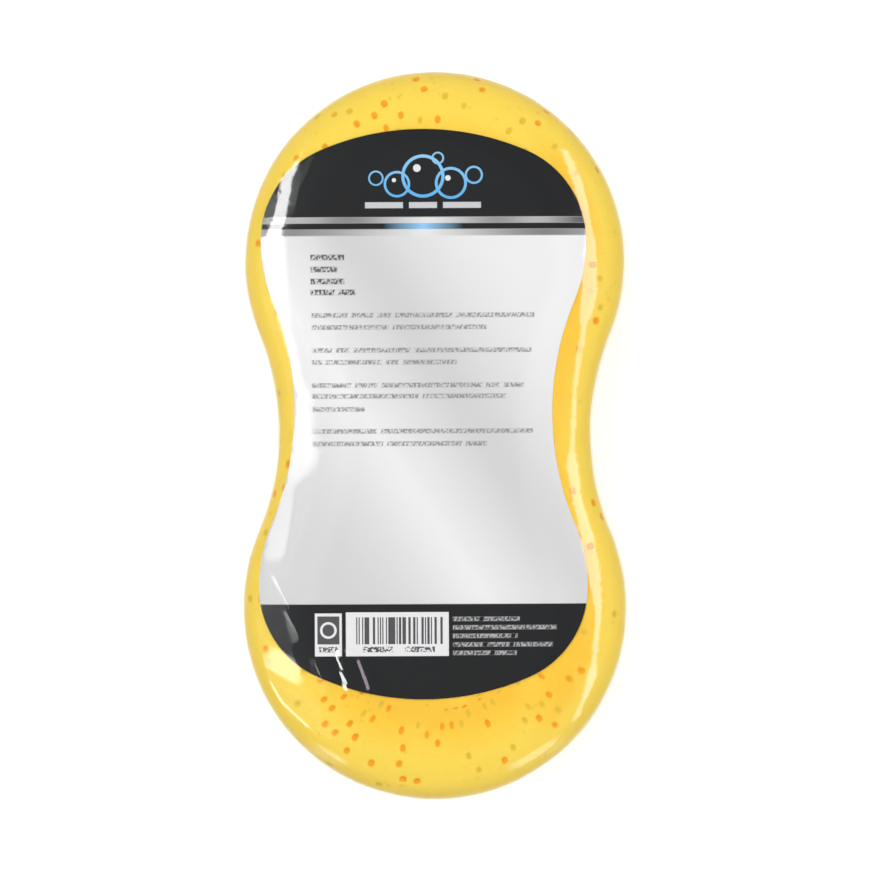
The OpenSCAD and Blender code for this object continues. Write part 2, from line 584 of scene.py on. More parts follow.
class Palette:
    """Builds the nodes of one material."""

    def __init__(self, name: str) -> None:
        """Starts an empty material.

        Args:
            name: the material's name.
        """
        self.material = bpy.data.materials.new(name)
        self.material.use_nodes = True
        self.tree = self.material.node_tree
        self.tree.nodes.clear()
        self.coords = self.tree.nodes.new("ShaderNodeTexCoord").outputs["Object"]
        split = self.node("ShaderNodeSeparateXYZ", {"Vector": self.coords})
        self.x, self.y, self.z = split.outputs

    def node(self, kind: str, inputs: dict | None = None, **settings: object) -> bpy.types.Node:
        """Adds a node.

        Args:
            kind: the node's type.
            inputs: a value or a socket for each input that is set, by its name or number.
            settings: the node's own settings.

        Returns:
            The node.
        """
        made = self.tree.nodes.new(kind)
        for name, value in settings.items():
            setattr(made, name, value)
        for name, value in (inputs or {}).items():
            if isinstance(value, Socket):
                self.tree.links.new(value, made.inputs[name])
            else:
                made.inputs[name].default_value = value
        return made

    def math(self, operation: str, *values: object, clamp: bool = False) -> Socket:
        """Adds a Math node.

        Args:
            operation: what it does.
            values: its inputs, as numbers or sockets.
            clamp: whether its result is kept between 0 and 1.

        Returns:
            Its result.
        """
        inputs = dict(enumerate(values))
        made = self.node("ShaderNodeMath", inputs, operation=operation, use_clamp=clamp)
        return made.outputs[0]

    def mix(self, share: object, first: object, second: object) -> Socket:
        """Mixes two colours.

        Args:
            share: how much of the second there is.
            first: a colour.
            second: the other colour.

        Returns:
            The mixed colour.
        """
        ends = {
            index: value if isinstance(value, Socket) else (*value, 1.0)
            for index, value in ((6, first), (7, second))
        }
        return self.node("ShaderNodeMix", {0: share, **ends}, data_type="RGBA").outputs[2]

    def turn(self, angle: float) -> None:
        """Turns the pattern a little about the middle, anticlockwise from above.

        Args:
            angle: how far, in radians.
        """
        x, y = self.x, self.y
        self.x = self.math("MULTIPLY_ADD", y, angle, x)
        self.y = self.math("MULTIPLY_ADD", x, -angle, y)

    def between(self, value: object, low: float, high: float, soft: float) -> Socket:
        """Makes a band that is 1 between two values and fades to 0 outside them.

        Args:
            value: what is tested.
            low: the band's start.
            high: the band's end.
            soft: how wide each fade is.

        Returns:
            The band.
        """
        middle, half = (low + high) / 2, (high - low) / 2
        away = self.away(value, middle)
        return self.node(
            "ShaderNodeMapRange",
            {0: away, 1: half - soft / 2, 2: half + soft / 2, 3: 1.0, 4: 0.0},
        ).outputs[0]

    def away(self, value: object, middle: float) -> Socket:
        """Returns how far a value is from another, either way."""
        return self.math("ABSOLUTE", self.math("SUBTRACT", value, middle))

    def box(self, low: Spot, high: Spot) -> Socket:
        """Makes a crisp upright rectangle on the card.

        Args:
            low: its lower left corner.
            high: its upper right corner.

        Returns:
            A mask, 1 inside it.
        """
        across = self.between(self.x, low[0], high[0], EDGE_SOFT)
        along = self.between(self.y, low[1], high[1], EDGE_SOFT)
        return self.math("MULTIPLY", across, along)

    def ring(self, centre: Spot, radius: float, width: float) -> Socket:
        """Makes a ring, or a disc where its width is 0.

        Args:
            centre: its centre.
            radius: its outer radius.
            width: how wide its line is.

        Returns:
            A mask, 1 on it.
        """
        spot = self.node("ShaderNodeCombineXYZ", {0: self.x, 1: self.y})
        away = self.node(
            "ShaderNodeVectorMath", {0: spot.outputs[0], 1: (*centre, 0.0)}, operation="DISTANCE"
        ).outputs["Value"]
        inner = radius - width if width else -radius
        return self.between(away, inner, radius, EDGE_SOFT)

    def most(self, masks: list[Socket]) -> Socket:
        """Joins several masks.

        Args:
            masks: the masks.

        Returns:
            The greatest of them at each place.
        """
        result = masks[0]
        for mask in masks[1:]:
            result = self.math("MAXIMUM", result, mask)
        return result

    def cells(self, scale: float) -> Socket:
        """Adds a pattern of cells.

        Args:
            scale: how many cells a metre has.

        Returns:
            How far each place is from the middle of its cell.
        """
        made = self.node(
            "ShaderNodeTexVoronoi", {"Vector": self.coords, "Scale": scale}, feature="F1"
        )
        return made.outputs["Distance"]

    def bump(self, height: object, strength: float, distance: float) -> Socket:
        """Turns a height into a bumped normal.

        Args:
            height: the height.
            strength: how strong the bump is, from 0 to 1.
            distance: how high a height of 1 is.

        Returns:
            The normal.
        """
        inputs = {"Strength": strength, "Distance": distance, "Height": height}
        return self.node("ShaderNodeBump", inputs).outputs[0]

    def noise(self, scale: float, detail: float, vector: object = None) -> Socket:
        """Adds noise.

        Args:
            scale: how many bumps a metre has.
            detail: how many finer layers are added.
            vector: where it is sampled, or None for the object's own coordinates.

        Returns:
            Its value.
        """
        where = vector if vector is not None else self.coords
        return self.node(
            "ShaderNodeTexNoise", {"Vector": where, "Scale": scale, "Detail": detail}
        ).outputs[0]

    def ramp(self, value: object, low: float, high: float) -> Socket:
        """Returns a value spread from 0 to 1 between two limits, and clamped."""
        return self.node("ShaderNodeMapRange", {0: value, 1: low, 2: high}).outputs[0]

    def tones(
        self, value: object, low: float, high: float, stops: tuple[Spot, ...]
    ) -> Socket:
        """Shades a value through greys.

        Args:
            value: what is shaded.
            low: the value where the stops start.
            high: the value where they end.
            stops: for each stop, its place from 0 to 1 and its tone from 0 to 255.

        Returns:
            The grey.
        """
        greys = [(place, (linear(tone),) * 3 + (1.0,)) for place, tone in stops]
        shade = self.table(self.ramp(value, low, high), greys)
        shade.color_ramp.interpolation = "B_SPLINE"
        return shade.outputs["Color"]

    def table(
        self, value: object, stops: list[tuple[float, tuple[float, float, float, float]]]
    ) -> bpy.types.Node:
        """Looks four numbers up in a table of stops, evenly between one stop and the next.

        Args:
            value: what is looked up, from 0 to 1.
            stops: for each stop, its place from 0 to 1 and its four numbers.

        Returns:
            The node that holds the table.
        """
        made = self.node("ShaderNodeValToRGB", {0: value})
        elements = made.color_ramp.elements
        elements[0].position, elements[1].position = stops[0][0], stops[-1][0]
        elements[0].color, elements[1].color = stops[0][1], stops[-1][1]
        for place, numbers in stops[1:-1]:
            elements.new(place).color = numbers
        return made

    def streak(
        self, start: Spot, end: Spot, width: float, soft: float
    ) -> Socket:
        """Makes a straight streak.

        Args:
            start: one end of its middle line.
            end: the other end.
            width: how wide it is.
            soft: how wide its fading edge is.

        Returns:
            A mask, 1 on it.
        """
        over, along = end[0] - start[0], end[1] - start[1]
        length = math.hypot(over, along)
        over, along = over / length, along / length
        u = self.math("MULTIPLY_ADD", self.y, along, -start[0] * over - start[1] * along)
        u = self.math("MULTIPLY_ADD", self.x, over, u)
        v = self.math("MULTIPLY_ADD", self.y, over, start[0] * along - start[1] * over)
        v = self.math("MULTIPLY_ADD", self.x, -along, v)
        lengthways = self.between(u, 0.0, length, 3 * soft)
        across = self.between(v, -width / 2, width / 2, soft)
        return self.math("MULTIPLY", lengthways, across)

    def matte(
        self, colour: object, roughness: float, normal: Socket, sheen: float = 0.0
    ) -> bpy.types.Material:
        """Shows a surface with hardly any gloss.

        Args:
            colour: its colour.
            roughness: how rough it is.
            normal: its bumped normal.
            sheen: how much sheen it has.

        Returns:
            The material.
        """
        inputs = {
            "Base Color": colour,
            "Roughness": roughness,
            "Specular IOR Level": MATTE_SHINE,
            "Sheen Weight": sheen,
            "Normal": normal,
        }
        return self.show(self.node("ShaderNodeBsdfPrincipled", inputs))

    def show(self, shader: bpy.types.Node) -> bpy.types.Material:
        """Sends a shader to the surface.

        Args:
            shader: the last shader.

        Returns:
            The material.
        """
        output = self.tree.nodes.new("ShaderNodeOutputMaterial")
        self.tree.links.new(shader.outputs[0], output.inputs["Surface"])
        return self.material


@dataclass(frozen=True)
class FoamFinish:
    """Open-cell foam, with painted shade in its pits and specks: the larger pores darker and more
    orange.

    Its colour turns from top to rim between the heights of rolls_over, and lower down on the
    right: painted shading, darker and more orange on the flat top and paler where the face rolls
    over. The clouds, specks and grains are how many of each a metre has.
    """

    # top and rim: painted shading, darker and more orange on the flat top, paler over the roll
    top: Colour = (0.97, 0.585, 0.056)
    rim: Colour = (0.97, 0.700, 0.100)
    pale: Colour = (0.97, 0.70, 0.10)
    # pore and dull: painted shade inside the deep and the shallow pits
    pore: Colour = (0.93, 0.38, 0.022)
    dull: Colour = (0.80, 0.53, 0.055)
    rolls_over: Spot = (0.0593, 0.0572)
    rolls_over_right: Spot = (0.0566, 0.0548)
    right_from: Spot = (0.026, 0.036)
    clouds: float = 70.0
    specks: float = 420.0
    grains: float = 1500.0
    pore_edge: Spot = (0.04, 0.40)
    roughness: float = 0.85
    sheen: float = 0.04

    def material(self) -> bpy.types.Material:
        """Dresses the foam, with painted shading: darker and more orange on its flat top, paler
        where its face rolls over.

        Returns:
            The foam's material.
        """
        nodes = Palette("yellow_foam")
        # painted shading: the darker top colour turns to the paler rim colour where the face rolls
        # over, lower down on the right
        rolled = nodes.ramp(nodes.z, *self.rolls_over)
        on_right = nodes.ramp(nodes.x, *self.right_from)
        later = nodes.math("SUBTRACT", nodes.ramp(nodes.z, *self.rolls_over_right), rolled)
        rolled = nodes.math("MULTIPLY_ADD", on_right, later, rolled)
        colour = nodes.mix(rolled, self.top, self.rim)
        cloud = nodes.ramp(nodes.noise(self.clouds, 2.0), 0.45, 0.75)
        colour = nodes.mix(nodes.math("MULTIPLY", cloud, 0.5), colour, self.pale)
        # specks: painted shade of small pores, which the grain bump below dents
        speck = nodes.ramp(nodes.cells(self.specks), 0.34, 0.18)
        rare = nodes.ramp(nodes.noise(160.0, 1.0), 0.56, 0.68)
        speck = nodes.math("MULTIPLY", speck, rare)
        colour = nodes.mix(nodes.math("MULTIPLY", speck, 0.5), colour, self.dull)
        # painted shade inside the pits, stronger where they are deeper
        for name, tint in (("dull", self.dull), ("pore", self.pore)):
            depth = nodes.node("ShaderNodeAttribute", attribute_name=name).outputs["Fac"]
            colour = nodes.mix(nodes.ramp(depth, *self.pore_edge), colour, tint)
        grain = nodes.math("MULTIPLY_ADD", speck, -0.8, nodes.cells(self.grains))
        return nodes.matte(
            colour, self.roughness, nodes.bump(grain, 0.35, 0.0003), self.sheen
        )


@dataclass(frozen=True)
class PrintFinish:
    """The card's print: black ends, silver rules with painted glints and a silver-grey field.

    The field's sheen slants, and the whole print is turned a little on the card.
    """

    black: Colour = (0.021, 0.022, 0.023)
    silver: Colour = (0.62, 0.63, 0.65)
    cyan: Colour = (0.31, 0.62, 0.90)
    blue: Colour = (0.12, 0.47, 0.86)
    ink: Colour = (0.10, 0.10, 0.105)
    soft_ink: Colour = (0.30, 0.30, 0.31)
    faint: Colour = (0.46, 0.46, 0.47)
    white: Colour = (0.83, 0.82, 0.83)
    turned: float = math.radians(0.25)
    roughness: float = 0.45
    sheen_slant: float = 1.5
    glow_reach: float = 0.0115
    bar_w: float = 0.00034

    def material(self) -> bpy.types.Material:
        """Prints the card.

        Returns:
            The card's material.
        """
        nodes = Palette("printed_card")
        nodes.turn(self.turned)
        colour = self.field(nodes)
        for print_on in (self.rules, self.bubbles, self.lines, self.boxes):
            colour = print_on(nodes, colour)
        fibre = nodes.noise(900.0, 3.0)
        return nodes.matte(colour, self.roughness, nodes.bump(fibre, 0.1, 0.00005))

    def field(self, nodes: Palette) -> Socket:
        """Paints the grey field and the two black ends.

        Args:
            nodes: the card's material.

        Returns:
            The colour.
        """
        slant = nodes.math("MULTIPLY_ADD", nodes.x, self.sheen_slant, nodes.y)
        middle = CENTRE_Y - self.sheen_slant * CENTRE_X
        start, end = ((pixels + middle) * PIXEL for pixels in (-150.0, 575.0))
        places = (0.0, 0.16, 0.28, 0.375, 0.41, 0.53, 0.61, 0.70, 0.85, 1.0)
        greys = (211, 212, 225, 238, 236, 218, 208, 219, 236, 236)
        colour = nodes.tones(slant, start, end, tuple(zip(places, greys)))
        upper, lower = on_card(0, 217)[1], on_card(0, 604)[1]
        top = nodes.ramp(nodes.y, upper - EDGE_SOFT, upper + EDGE_SOFT)
        low = nodes.ramp(nodes.y, lower + EDGE_SOFT, lower - EDGE_SOFT)
        return nodes.mix(nodes.math("MAXIMUM", top, low), colour, self.black)

    def rules(self, nodes: Palette, colour: Socket) -> Socket:
        """Adds the silver rules, with painted glints along them, and the dark one between them
        with its blue glow.

        Args:
            nodes: the card's material.
            colour: the colour so far.

        Returns:
            The colour.
        """
        left, right = on_card(262, 0)[0], on_card(588, 0)[0]
        # the tones along each silver rule are painted glints
        upper = (0.006, 0.12, 0.28, 0.46, 0.56, 0.72, 0.835, 0.95)
        lower = (0.006, 0.13, 0.45, 0.56, 0.84, 0.99)
        for top, foot, places, greys in (
            (217.0, 223.0, upper, (138, 205, 68, 232, 232, 95, 212, 95)),
            (229.0, 235.5, lower, (173, 96, 236, 232, 86, 165)),
        ):
            band = nodes.between(nodes.y, on_card(0, foot)[1], on_card(0, top)[1], EDGE_SOFT * 3)
            silver = nodes.tones(nodes.x, left, right, tuple(zip(places, greys)))
            colour = nodes.mix(band, colour, silver)
        away = nodes.away(nodes.x, on_card(424, 0)[0])
        glow = nodes.ramp(away, self.glow_reach, 0.0)
        dark = nodes.mix(glow, self.black, self.cyan)
        band = nodes.between(nodes.y, on_card(0, 229)[1], on_card(0, 223)[1], EDGE_SOFT * 2)
        return nodes.mix(band, colour, dark)

    def bubbles(self, nodes: Palette, colour: Socket) -> Socket:
        """Adds the plain soap bubbles and the silver bars on the black dome.

        Args:
            nodes: the card's material.
            colour: the colour so far.

        Returns:
            The colour.
        """
        rings = [
            nodes.ring(on_card(column, row), radius, width)
            for column, row, radius, width in (
                (424, 176, 0.0062, 0.0009),
                (398, 184, 0.0038, 0.0007),
                (452, 183, 0.0046, 0.0008),
                (377, 178, 0.0022, 0.0005),
                (475, 175, 0.0026, 0.0006),
                (439, 158, 0.0018, 0.0005),
            )
        ]
        fade = nodes.ramp(nodes.y, on_card(0, 200)[1], on_card(0, 155)[1])
        tint = nodes.mix(fade, self.blue, self.cyan)
        colour = nodes.mix(nodes.most(rings), colour, tint)
        dots = [
            nodes.ring(on_card(column, row), radius, 0.0)
            for column, row, radius in ((418, 168, 0.0011), (449, 178, 0.0008), (395, 180, 0.0006))
        ]
        colour = nodes.mix(nodes.most(dots), colour, self.white)
        bars = [
            nodes.box(on_card(left, 208), on_card(right, 202))
            for left, right in ((366, 404), (410, 438), (444, 482))
        ]
        return nodes.mix(nodes.most(bars), colour, self.silver)

    def lines(self, nodes: Palette, colour: Socket) -> Socket:
        """Adds the rows of plain hatched dashes, which are dark on the field and grey below it.

        Args:
            nodes: the card's material.
            colour: the colour so far.

        Returns:
            The colour.
        """
        bold = ((257, 345), (269, 338), (281, 345), (292, 356))
        small = (
            (315, 535), (327, 487), (350, 532), (362, 457), (385, 524),
            (396, 509), (409, 365), (431, 533), (443.5, 487),
        )
        light = ((619, 519), (627.5, 556), (636, 517), (644.6, 552), (653, 516))
        for left, rows, ink, half in (
            (311, bold, self.ink, 2.9),
            (312, small, self.soft_ink, 2.4),
            (452, light, self.faint, 2.3),
        ):
            masks = [
                nodes.box(on_card(left, row + half), on_card(right, row - half))
                for row, right in rows
            ]
            number = nodes.math("MULTIPLY", masks[0], 1.0)
            for place, mask in enumerate(masks[1:], start=2):
                number = nodes.math("MULTIPLY_ADD", mask, float(place), number)
            strokes = self.strokes(nodes, number, on_card(left, 0)[0])
            mask = nodes.math("MULTIPLY", nodes.most(masks), strokes)
            colour = nodes.mix(mask, colour, ink)
        return colour

    def strokes(
        self, nodes: Palette, number: Socket, left: float
    ) -> Socket:
        """Breaks rows up into dashes of uneven length, hatched with fine leaning strokes.

        Args:
            nodes: the card's material.
            number: which row it is.
            left: where the rows start.

        Returns:
            A mask, 1 on a stroke.
        """
        leaning = nodes.math("MULTIPLY_ADD", nodes.y, -0.2, nodes.x)
        apart = nodes.math("MULTIPLY", number, 0.37)
        spot = nodes.node("ShaderNodeCombineXYZ", {0: leaning, 1: apart}).outputs[0]
        words = nodes.ramp(nodes.noise(400.0, 0.0, spot), 0.33, 0.36)
        first = nodes.between(nodes.x, left - 0.001, left + 0.0030, EDGE_SOFT)
        words = nodes.math("MAXIMUM", words, first)
        stroke = nodes.node(
            "ShaderNodeCombineXYZ",
            {0: leaning, 1: nodes.math("MULTIPLY_ADD", nodes.y, 0.6, apart)},
        ).outputs[0]
        hatch = nodes.ramp(nodes.noise(1700.0, 1.0, stroke), 0.40, 0.58)
        return nodes.math("MULTIPLY", words, nodes.math("MULTIPLY_ADD", hatch, 0.85, 0.12))

    def boxes(self, nodes: Palette, colour: Socket) -> Socket:
        """Adds the two pale boxes on the lower band, one with plain bars and one with a ring.

        Args:
            nodes: the card's material.
            colour: the colour so far.

        Returns:
            The colour.
        """
        ring_box = nodes.box(on_card(314, 656), on_card(341, 613))
        bar_box = nodes.box(on_card(345, 656), on_card(448, 612))
        colour = nodes.mix(nodes.most([ring_box, bar_box]), colour, self.white)
        cells = nodes.math("SNAP", nodes.x, self.bar_w)
        bars = nodes.node("ShaderNodeTexWhiteNoise", {"W": cells}, noise_dimensions="1D")
        bars = nodes.math("GREATER_THAN", bars.outputs["Value"], 0.48)
        code = nodes.math("MULTIPLY", bars, nodes.box(on_card(355, 644), on_card(442, 617)))
        colour = nodes.mix(code, colour, self.ink)
        colour = nodes.mix(nodes.box(on_card(316.5, 644), on_card(338.5, 616)), colour, self.ink)
        ring = nodes.ring(on_card(327.5, 630), 0.0024, 0.0007)
        colour = nodes.mix(ring, colour, self.white)
        foot = [
            nodes.box(on_card(left, 652.0), on_card(right, 646.5))
            for left, right in ((318, 337), (362, 392), (404, 434))
        ]
        hatch = nodes.ramp(nodes.noise(1900.0, 0.0), 0.36, 0.55)
        return nodes.mix(nodes.math("MULTIPLY", nodes.most(foot), hatch), colour, self.ink)


@dataclass(frozen=True)
class HighlightStreak:
    """A short painted highlight streak, where the film keeps its gloss, placed in the photo's
    pixels.
    """

    start: Spot
    end: Spot
    width: float
    shine: float
    soft: float = 0.0006


# The painted highlight strips down each side of the upper face, where the film keeps its gloss:
# for some rows of the photo, the strip's left and right sides and how soft its inner edge is, in
# pixels, and how much gloss it keeps
LEFT_HIGHLIGHT_STRIP = (
    (157, 299, 301, 2, 0.0),
    (162, 295, 299, 2, 0.7),
    (170, 289, 296, 2, 1.0),
    (179, 281, 292, 2, 1.0),
    (202, 277, 288, 2, 1.0),
    (225, 271, 284, 2, 1.0),
    (235, 266, 281, 3, 1.0),
    (244, 261, 284, 8, 0.42),
    (300, 271, 285, 10, 0.36),
    (340, 284, 292, 10, 0.32),
    (374, 293, 300, 10, 0.30),
    (400, 297, 309, 12, 0.32),
    (454, 292, 317, 13, 0.32),
    (470, 287, 311, 13, 0.30),
    (486, 281, 294, 6, 0.26),
    (512, 276, 291, 2, 0.25),
    (540, 267, 287, 2, 0.25),
    (556, 264, 284, 3, 0.24),
    (566, 268, 276, 3, 0.0),
)
RIGHT_HIGHLIGHT_STRIP = (
    (142, 558, 562, 2, 0.0),
    (150, 561, 568, 2, 0.8),
    (177, 571, 581, 2, 1.0),
    (202, 579, 588, 2, 1.0),
    (228, 586, 592, 2, 1.0),
    (240, 585, 596, 2, 1.0),
    (290, 582, 598, 2, 1.0),
    (308, 580, 594, 2, 1.0),
    (327, 581, 587, 2, 0.9),
    (352, 577, 583, 2, 0.8),
    (390, 573, 577, 2, 0.8),
    (450, 570, 575, 2, 0.8),
    (464, 566, 578, 2, 1.0),
    (474, 568, 579, 2, 1.0),
    (500, 573, 582, 2, 1.0),
    (537, 581, 594, 2, 1.0),
    (575, 588, 601, 2, 1.0),
    (612, 596, 602, 2, 1.0),
    (662, 592, 597, 2, 0.9),
    (677, 587, 597, 2, 1.0),
    (699, 582, 587, 2, 0.9),
    (730, 568, 574, 3, 0.4),
    (736, 566, 570, 3, 0.0),
)


@dataclass(frozen=True)
class FilmFinish:
    """Clear gloss film that lets light straight through and mirrors the lamps.

    Round the rolled rim of its upper face its gloss is cut almost to nothing and a little less
    light goes through, apart from the painted highlight strips and streaks where it keeps its
    gloss. The cut grows between the heights of rim_rises and ends between those of rim_ends.
    """

    shine_square_on: float = 0.08
    # the share of gloss kept outside the painted highlights, and how much light goes through there
    gloss_kept_off_highlights: float = 0.03
    gloss_cut_through: float = 0.965
    roughness: float = 0.07
    rim_rises: Spot = (0.0120, 0.0500)
    rim_ends: Spot = (0.0600, 0.0597)
    left_uneven: float = 0.0026
    right_uneven: float = 0.0016
    outer_soft: float = 2.0
    # where the painted dark lines across the left highlight strip lie, how far apart they are and
    # how dark
    gathered: Spot = (-0.0350, -0.0125)
    gather_pitch: float = 0.0019
    gather_dim: float = 0.42
    # painted highlight streaks, each where the film keeps its gloss
    highlight_streaks: tuple[HighlightStreak, ...] = (
        HighlightStreak((300, 154), (309, 138), 0.0012, 0.6),
        HighlightStreak((298, 176), (294, 214), 0.0036, 0.05, 0.0016),
        HighlightStreak((275, 198), (266, 230), 0.0030, 0.08, 0.0012),
        HighlightStreak((289, 618), (296, 642), 0.0026, 0.10, 0.0010),
        HighlightStreak((267, 656), (302, 676), 0.0062, 0.40, 0.0011),
        HighlightStreak((268, 680), (284, 706), 0.0006, 0.6, 0.0004),
        HighlightStreak((283, 704), (312, 731), 0.0006, 0.5, 0.0004),
        HighlightStreak((272, 576), (290, 606), 0.0010, 0.35),
        HighlightStreak((284, 612), (299, 636), 0.0010, 0.25),
        HighlightStreak((316, 662), (330, 690), 0.0014, 0.30),
        HighlightStreak((512, 766), (564, 741), 0.0030, 0.8, 0.0016),
        HighlightStreak((310, 747), (342, 764), 0.0026, 1.0, 0.0014),
    )

    def material(self) -> bpy.types.Material:
        """Mixes clear film with its gloss.

        Returns:
            The film's material.
        """
        nodes = Palette("clear_film")
        facing = nodes.node("ShaderNodeLayerWeight", {"Blend": 0.5}).outputs["Facing"]
        glance = nodes.math("POWER", facing, 5.0)
        rising, ending = (nodes.ramp(nodes.z, *ends) for ends in (self.rim_rises, self.rim_ends))
        # outside the painted highlights on the rolled rim, the film's gloss is cut and a little
        # less light goes through
        gloss_cut = nodes.math("SUBTRACT", 1.0, self.painted_highlight(nodes))
        gloss_cut = nodes.math("MULTIPLY", nodes.math("MULTIPLY", rising, ending), gloss_cut)
        gloss_cut = nodes.math("MULTIPLY", gloss_cut, 1 - self.gloss_kept_off_highlights)
        shine = nodes.math("MULTIPLY_ADD", gloss_cut, -self.shine_square_on, self.shine_square_on)
        share = nodes.math("MULTIPLY_ADD", glance, 1 - self.shine_square_on, shine)
        through = nodes.mix(gloss_cut, (1.0, 1.0, 1.0), (self.gloss_cut_through,) * 3)
        clear = nodes.node("ShaderNodeBsdfTransparent", {"Color": through})
        mirror = {
            "Color": (1.0, 1.0, 1.0, 1.0),
            "Roughness": self.roughness,
            "Normal": nodes.bump(nodes.noise(260.0, 2.0), 0.14, 0.0002),
        }
        gloss = nodes.node("ShaderNodeBsdfAnisotropic", mirror)
        both = {0: share, 1: clear.outputs[0], 2: gloss.outputs[0]}
        return nodes.show(nodes.node("ShaderNodeMixShader", both))

    def painted_highlight(self, nodes: Palette) -> Socket:
        """Paints the highlights round the rolled rim, as a mask of where the film keeps its gloss.

        Args:
            nodes: the film's material.

        Returns:
            How much gloss it keeps, from 0 to 1.
        """
        uneven = nodes.math("SUBTRACT", nodes.noise(900.0, 1.0), 0.5)
        left, right = (
            self.strip(nodes, nodes.math("MULTIPLY_ADD", uneven, by, nodes.x), rows)
            for by, rows in ((self.left_uneven, LEFT_HIGHLIGHT_STRIP), (self.right_uneven, RIGHT_HIGHLIGHT_STRIP))
        )
        marks = [nodes.math("MULTIPLY", left, self.gathers(nodes)), right]
        for mark in self.highlight_streaks:
            mask = nodes.streak(on_card(*mark.start), on_card(*mark.end), mark.width, mark.soft)
            marks.append(nodes.math("MULTIPLY", mask, mark.shine))
        return nodes.most(marks)

    def strip(
        self, nodes: Palette, across: Socket, rows: tuple[tuple[float, ...], ...]
    ) -> Socket:
        """Makes a long painted highlight strip that runs down one side of the upper face.

        Args:
            nodes: the film's material.
            across: the place across the sponge.
            rows: for some rows of the photo, the strip's left and right sides, how soft its
                inner edge is, all in pixels, and how much gloss the film keeps.

        Returns:
            How much gloss the film keeps.
        """
        first, last = rows[0][0], rows[-1][0]
        down = nodes.ramp(nodes.y, on_card(0, first)[1], on_card(0, last)[1])
        stops = [
            ((row - first) / (last - first), (*(pixels / PHOTO_W for pixels in widths), painted_highlight))
            for row, *widths, painted_highlight in rows
        ]
        table = nodes.table(down, stops)
        sides = nodes.node("ShaderNodeSeparateColor", {0: table.outputs["Color"]}).outputs
        column = nodes.math("MULTIPLY_ADD", across, 1 / (PIXEL * PHOTO_W), CENTRE_X / PHOTO_W)
        crisp = PHOTO_W / self.outer_soft
        from_left = nodes.math("SUBTRACT", column, sides[0])
        from_left = nodes.math("MULTIPLY_ADD", from_left, crisp, 0.5, clamp=True)
        from_right = nodes.math("SUBTRACT", sides[1], column)
        from_right = nodes.math("DIVIDE", from_right, sides[2])
        from_right = nodes.math("ADD", from_right, 0.5, clamp=True)
        inside = nodes.math("MULTIPLY", from_left, from_right)
        return nodes.math("MULTIPLY", inside, table.outputs["Alpha"])

    def gathers(self, nodes: Palette) -> Socket:
        """Draws fine dark lines across the painted highlight strip, below the waist on the left,
        that stand for ruckles.

        Args:
            nodes: the film's material.

        Returns:
            How much of the painted highlight is left, less along the lines.
        """
        along = nodes.between(nodes.y, *self.gathered, 0.004)
        sway = nodes.math("MULTIPLY", nodes.noise(120.0, 1.0), 16.0)
        sway = nodes.math("MULTIPLY_ADD", nodes.x, 500.0, sway)
        phase = nodes.math("MULTIPLY_ADD", nodes.y, math.tau / self.gather_pitch, sway)
        wave = nodes.math("MULTIPLY_ADD", nodes.math("SINE", phase), 0.5, 0.5)
        wave = nodes.math("MULTIPLY", nodes.math("POWER", wave, 5.0), along)
        return nodes.math("MULTIPLY_ADD", wave, -self.gather_dim, 1.0)


